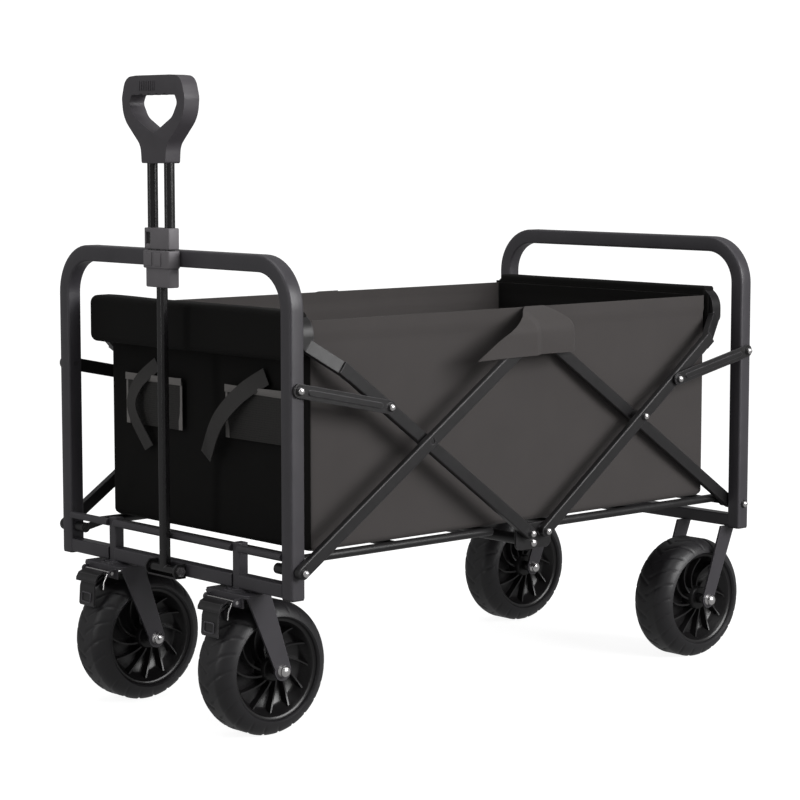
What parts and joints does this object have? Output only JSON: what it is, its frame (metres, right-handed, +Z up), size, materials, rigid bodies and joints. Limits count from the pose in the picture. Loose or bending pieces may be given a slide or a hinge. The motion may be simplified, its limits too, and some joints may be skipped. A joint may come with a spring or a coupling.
{
  "type": "folding camp wagon",
  "caption": "Folding utility wagon with a fabric basket in scissor-bar side frames, end hoops, swivel casters with foot brakes, fixed rear wheels and a telescopic pull handle.",
  "frame": {"origin": "on the ground, midway between the wheels in both directions", "axes": "+X from the pull handle to the tail, +Y across to the right side, +Z up"},
  "size_m": [0.956, 0.5468, 0.855],
  "materials": {
    "frame_steel": "dark powder coat, satin",
    "pressed_steel": "dark powder coat, satin",
    "handle_rods": "black coat, satin",
    "bright_hardware": "zinc plated",
    "tyre": "moulded rubber",
    "rim_plastic": "moulded, fine grain",
    "bush_plastic": "moulded",
    "grip_plastic": "moulded, fine grain",
    "cap_plastic": "moulded",
    "basket_fabric": "coated polyester canvas",
    "mesh": "knitted mesh",
    "webbing": "woven tape"
  },
  "bodies": {
    "front_frame": {"front_hoop": "frame_steel", "front_cross_tube": "frame_steel", "front_thin_tube": "frame_steel", "caster_posts": "frame_steel", "front_end_caps": "cap_plastic", "front_frame_rivets": "bright_hardware", "handle_bracket": "frame_steel", "handle_bolt": "bright_hardware"},
    "handle": {"handle_tube": "frame_steel", "handle_collar": "grip_plastic"},
    "grip": {"handle_rods": "handle_rods", "handle_grip": "grip_plastic"},
    "front_scissor": {"scissor_bar_front_left": "frame_steel", "scissor_bar_front_right": "frame_steel", "scissor_pins_front": "bright_hardware"},
    "front_rail": {"front_basket_rail": "frame_steel", "front_roll": "basket_fabric"},
    "bottom_link": {"bottom_bracket": "frame_steel"},
    "top_link": {"top_brackets": "frame_steel", "side_flaps": "basket_fabric"},
    "rear_scissor": {"scissor_bar_rear_left": "frame_steel", "scissor_bar_rear_right": "frame_steel", "scissor_pins_rear": "bright_hardware"},
    "rear_frame": {"rear_hoop": "frame_steel", "rear_cross_tube": "frame_steel", "rear_wheel_mounts": "pressed_steel", "rear_axles": "bright_hardware", "rear_end_caps": "cap_plastic", "rear_frame_rivets": "bright_hardware"},
    "rear_rail": {"rear_basket_rail": "frame_steel", "rail_foot_rivets": "bright_hardware", "rear_sleeve": "basket_fabric"},
    "front_strut": {"front_struts": "frame_steel"},
    "rear_strut": {"rear_struts": "frame_steel"},
    "front_floor": {"floor_frame_front": "frame_steel"},
    "rear_floor": {"floor_frame_rear": "frame_steel"},
    "basket": {"basket_fabric": "basket_fabric", "mesh_pockets": "mesh", "wall_straps": "webbing"},
    "caster_left": {"caster_fork_left": "pressed_steel", "caster_bolts_left": "bright_hardware"},
    "brake_left": {"brake_pedal_left": "pressed_steel"},
    "front_wheel_left": {"tyre_front_left": "tyre", "rim_front_left": "rim_plastic", "hub_bush_front_left": "bush_plastic"},
    "rear_wheel_left": {"tyre_rear_left": "tyre", "rim_rear_left": "rim_plastic", "hub_bush_rear_left": "bush_plastic"},
    "caster_right": {"caster_fork_right": "pressed_steel", "caster_bolts_right": "bright_hardware"},
    "brake_right": {"brake_pedal_right": "pressed_steel"},
    "front_wheel_right": {"tyre_front_right": "tyre", "rim_front_right": "rim_plastic", "hub_bush_front_right": "bush_plastic"},
    "rear_wheel_right": {"tyre_rear_right": "tyre", "rim_rear_right": "rim_plastic", "hub_bush_rear_right": "bush_plastic"}
  },
  "joints": [
    {"name": "fold", "type": "hinge", "parent": "front_frame", "child": "front_scissor", "pos_m": [-0.422, 0, 0.232], "axis": [0, -1, 0], "range_deg": [0, 40.77], "deforming": ["basket_fabric", "mesh_pockets", "wall_straps", "front_roll"]},
    {"name": "front_rail_turn", "type": "hinge", "parent": "front_scissor", "child": "front_rail", "pos_m": [-0.20419, 0, 0.38018], "axis": [0, -1, 0], "range_deg": [-75.16, 0]},
    {"name": "bottom_link_turn", "type": "hinge", "parent": "front_rail", "child": "bottom_link", "pos_m": [-0.009, 0, 0.236], "axis": [0, -1, 0], "range_deg": [0, 34.39]},
    {"name": "top_link_turn", "type": "hinge", "parent": "front_scissor", "child": "top_link", "pos_m": [-0.036, 0, 0.4946], "axis": [0, -1, 0], "range_deg": [-40.77, 0]},
    {"name": "rear_scissor_turn", "type": "hinge", "parent": "top_link", "child": "rear_scissor", "pos_m": [0.048, 0, 0.4946], "axis": [0, -1, 0], "range_deg": [-40.77, 0]},
    {"name": "rear_frame_turn", "type": "hinge", "parent": "rear_scissor", "child": "rear_frame", "pos_m": [0.434, 0, 0.232], "axis": [0, -1, 0], "range_deg": [0, 40.77]},
    {"name": "rear_rail_turn", "type": "hinge", "parent": "rear_scissor", "child": "rear_rail", "pos_m": [0.21619, 0, 0.38018], "axis": [0, -1, 0], "range_deg": [0, 75.16]},
    {"name": "front_strut_turn", "type": "hinge", "parent": "front_frame", "child": "front_strut", "pos_m": [-0.422, 0, 0.461], "axis": [0, -1, 0], "range_deg": [0, 77.74]},
    {"name": "rear_strut_turn", "type": "hinge", "parent": "rear_frame", "child": "rear_strut", "pos_m": [0.434, 0, 0.461], "axis": [0, -1, 0], "range_deg": [-77.74, 0]},
    {"name": "front_floor_turn", "type": "hinge", "parent": "front_frame", "child": "front_floor", "pos_m": [-0.422, 0, 0.232], "axis": [0, -1, 0], "range_deg": [0, 72.13]},
    {"name": "rear_floor_turn", "type": "hinge", "parent": "rear_frame", "child": "rear_floor", "pos_m": [0.434, 0, 0.232], "axis": [0, -1, 0], "range_deg": [-72.13, 0]},
    {"name": "basket_rise", "type": "slide", "parent": "front_frame", "child": "basket", "axis": [0, 0, 1], "range_m": [0, 0.1501]},
    {"name": "handle_swing", "type": "hinge", "parent": "front_frame", "child": "handle", "pos_m": [-0.442, 0, 0.205], "axis": [0, -1, 0], "range_deg": [0, 95]},
    {"name": "handle_slide", "type": "slide", "parent": "handle", "child": "grip", "axis": [0, 0, 1], "range_m": [-0.075, 0]},
    {"name": "caster_left_swivel", "type": "hinge", "parent": "front_frame", "child": "caster_left", "pos_m": [-0.423, -0.138, 0.194], "axis": [0, 0, 1], "continuous": true},
    {"name": "front_wheel_left_spin", "type": "hinge", "parent": "caster_left", "child": "front_wheel_left", "pos_m": [-0.389, -0.138, 0.089], "axis": [0, 1, 0], "continuous": true},
    {"name": "rear_wheel_left_spin", "type": "hinge", "parent": "rear_frame", "child": "rear_wheel_left", "pos_m": [0.389, -0.185, 0.089], "axis": [0, 1, 0], "continuous": true},
    {"name": "brake_left_press", "type": "hinge", "parent": "caster_left", "child": "brake_left", "pos_m": [-0.454, -0.138, 0.185], "axis": [0, -1, 0], "range_deg": [0, 6], "stiffness_Nm_per_rad": 0.12, "springref_deg": -20.05},
    {"name": "caster_right_swivel", "type": "hinge", "parent": "front_frame", "child": "caster_right", "pos_m": [-0.423, 0.138, 0.194], "axis": [0, 0, 1], "continuous": true},
    {"name": "front_wheel_right_spin", "type": "hinge", "parent": "caster_right", "child": "front_wheel_right", "pos_m": [-0.389, 0.138, 0.089], "axis": [0, 1, 0], "continuous": true},
    {"name": "rear_wheel_right_spin", "type": "hinge", "parent": "rear_frame", "child": "rear_wheel_right", "pos_m": [0.389, 0.185, 0.089], "axis": [0, 1, 0], "continuous": true},
    {"name": "brake_right_press", "type": "hinge", "parent": "caster_right", "child": "brake_right", "pos_m": [-0.454, 0.138, 0.185], "axis": [0, -1, 0], "range_deg": [0, 6], "stiffness_Nm_per_rad": 0.12, "springref_deg": -20.05}
  ],
  "couplings": [
    {"joint": "front_rail_turn", "follows": "fold", "ratio": -1.8434},
    {"joint": "bottom_link_turn", "follows": "fold", "ratio": 0.84339},
    {"joint": "top_link_turn", "follows": "fold", "ratio": -1},
    {"joint": "rear_scissor_turn", "follows": "fold", "ratio": -1},
    {"joint": "rear_frame_turn", "follows": "fold", "ratio": 1},
    {"joint": "rear_rail_turn", "follows": "fold", "ratio": 1.8434},
    {"joint": "front_strut_turn", "follows": "fold", "ratio": 1.9066},
    {"joint": "rear_strut_turn", "follows": "fold", "ratio": -1.9066},
    {"joint": "front_floor_turn", "follows": "fold", "ratio": 1.769},
    {"joint": "rear_floor_turn", "follows": "fold", "ratio": -1.769},
    {"joint": "basket_rise", "follows": "fold", "m_per_rad": 0.21079}
  ]
}
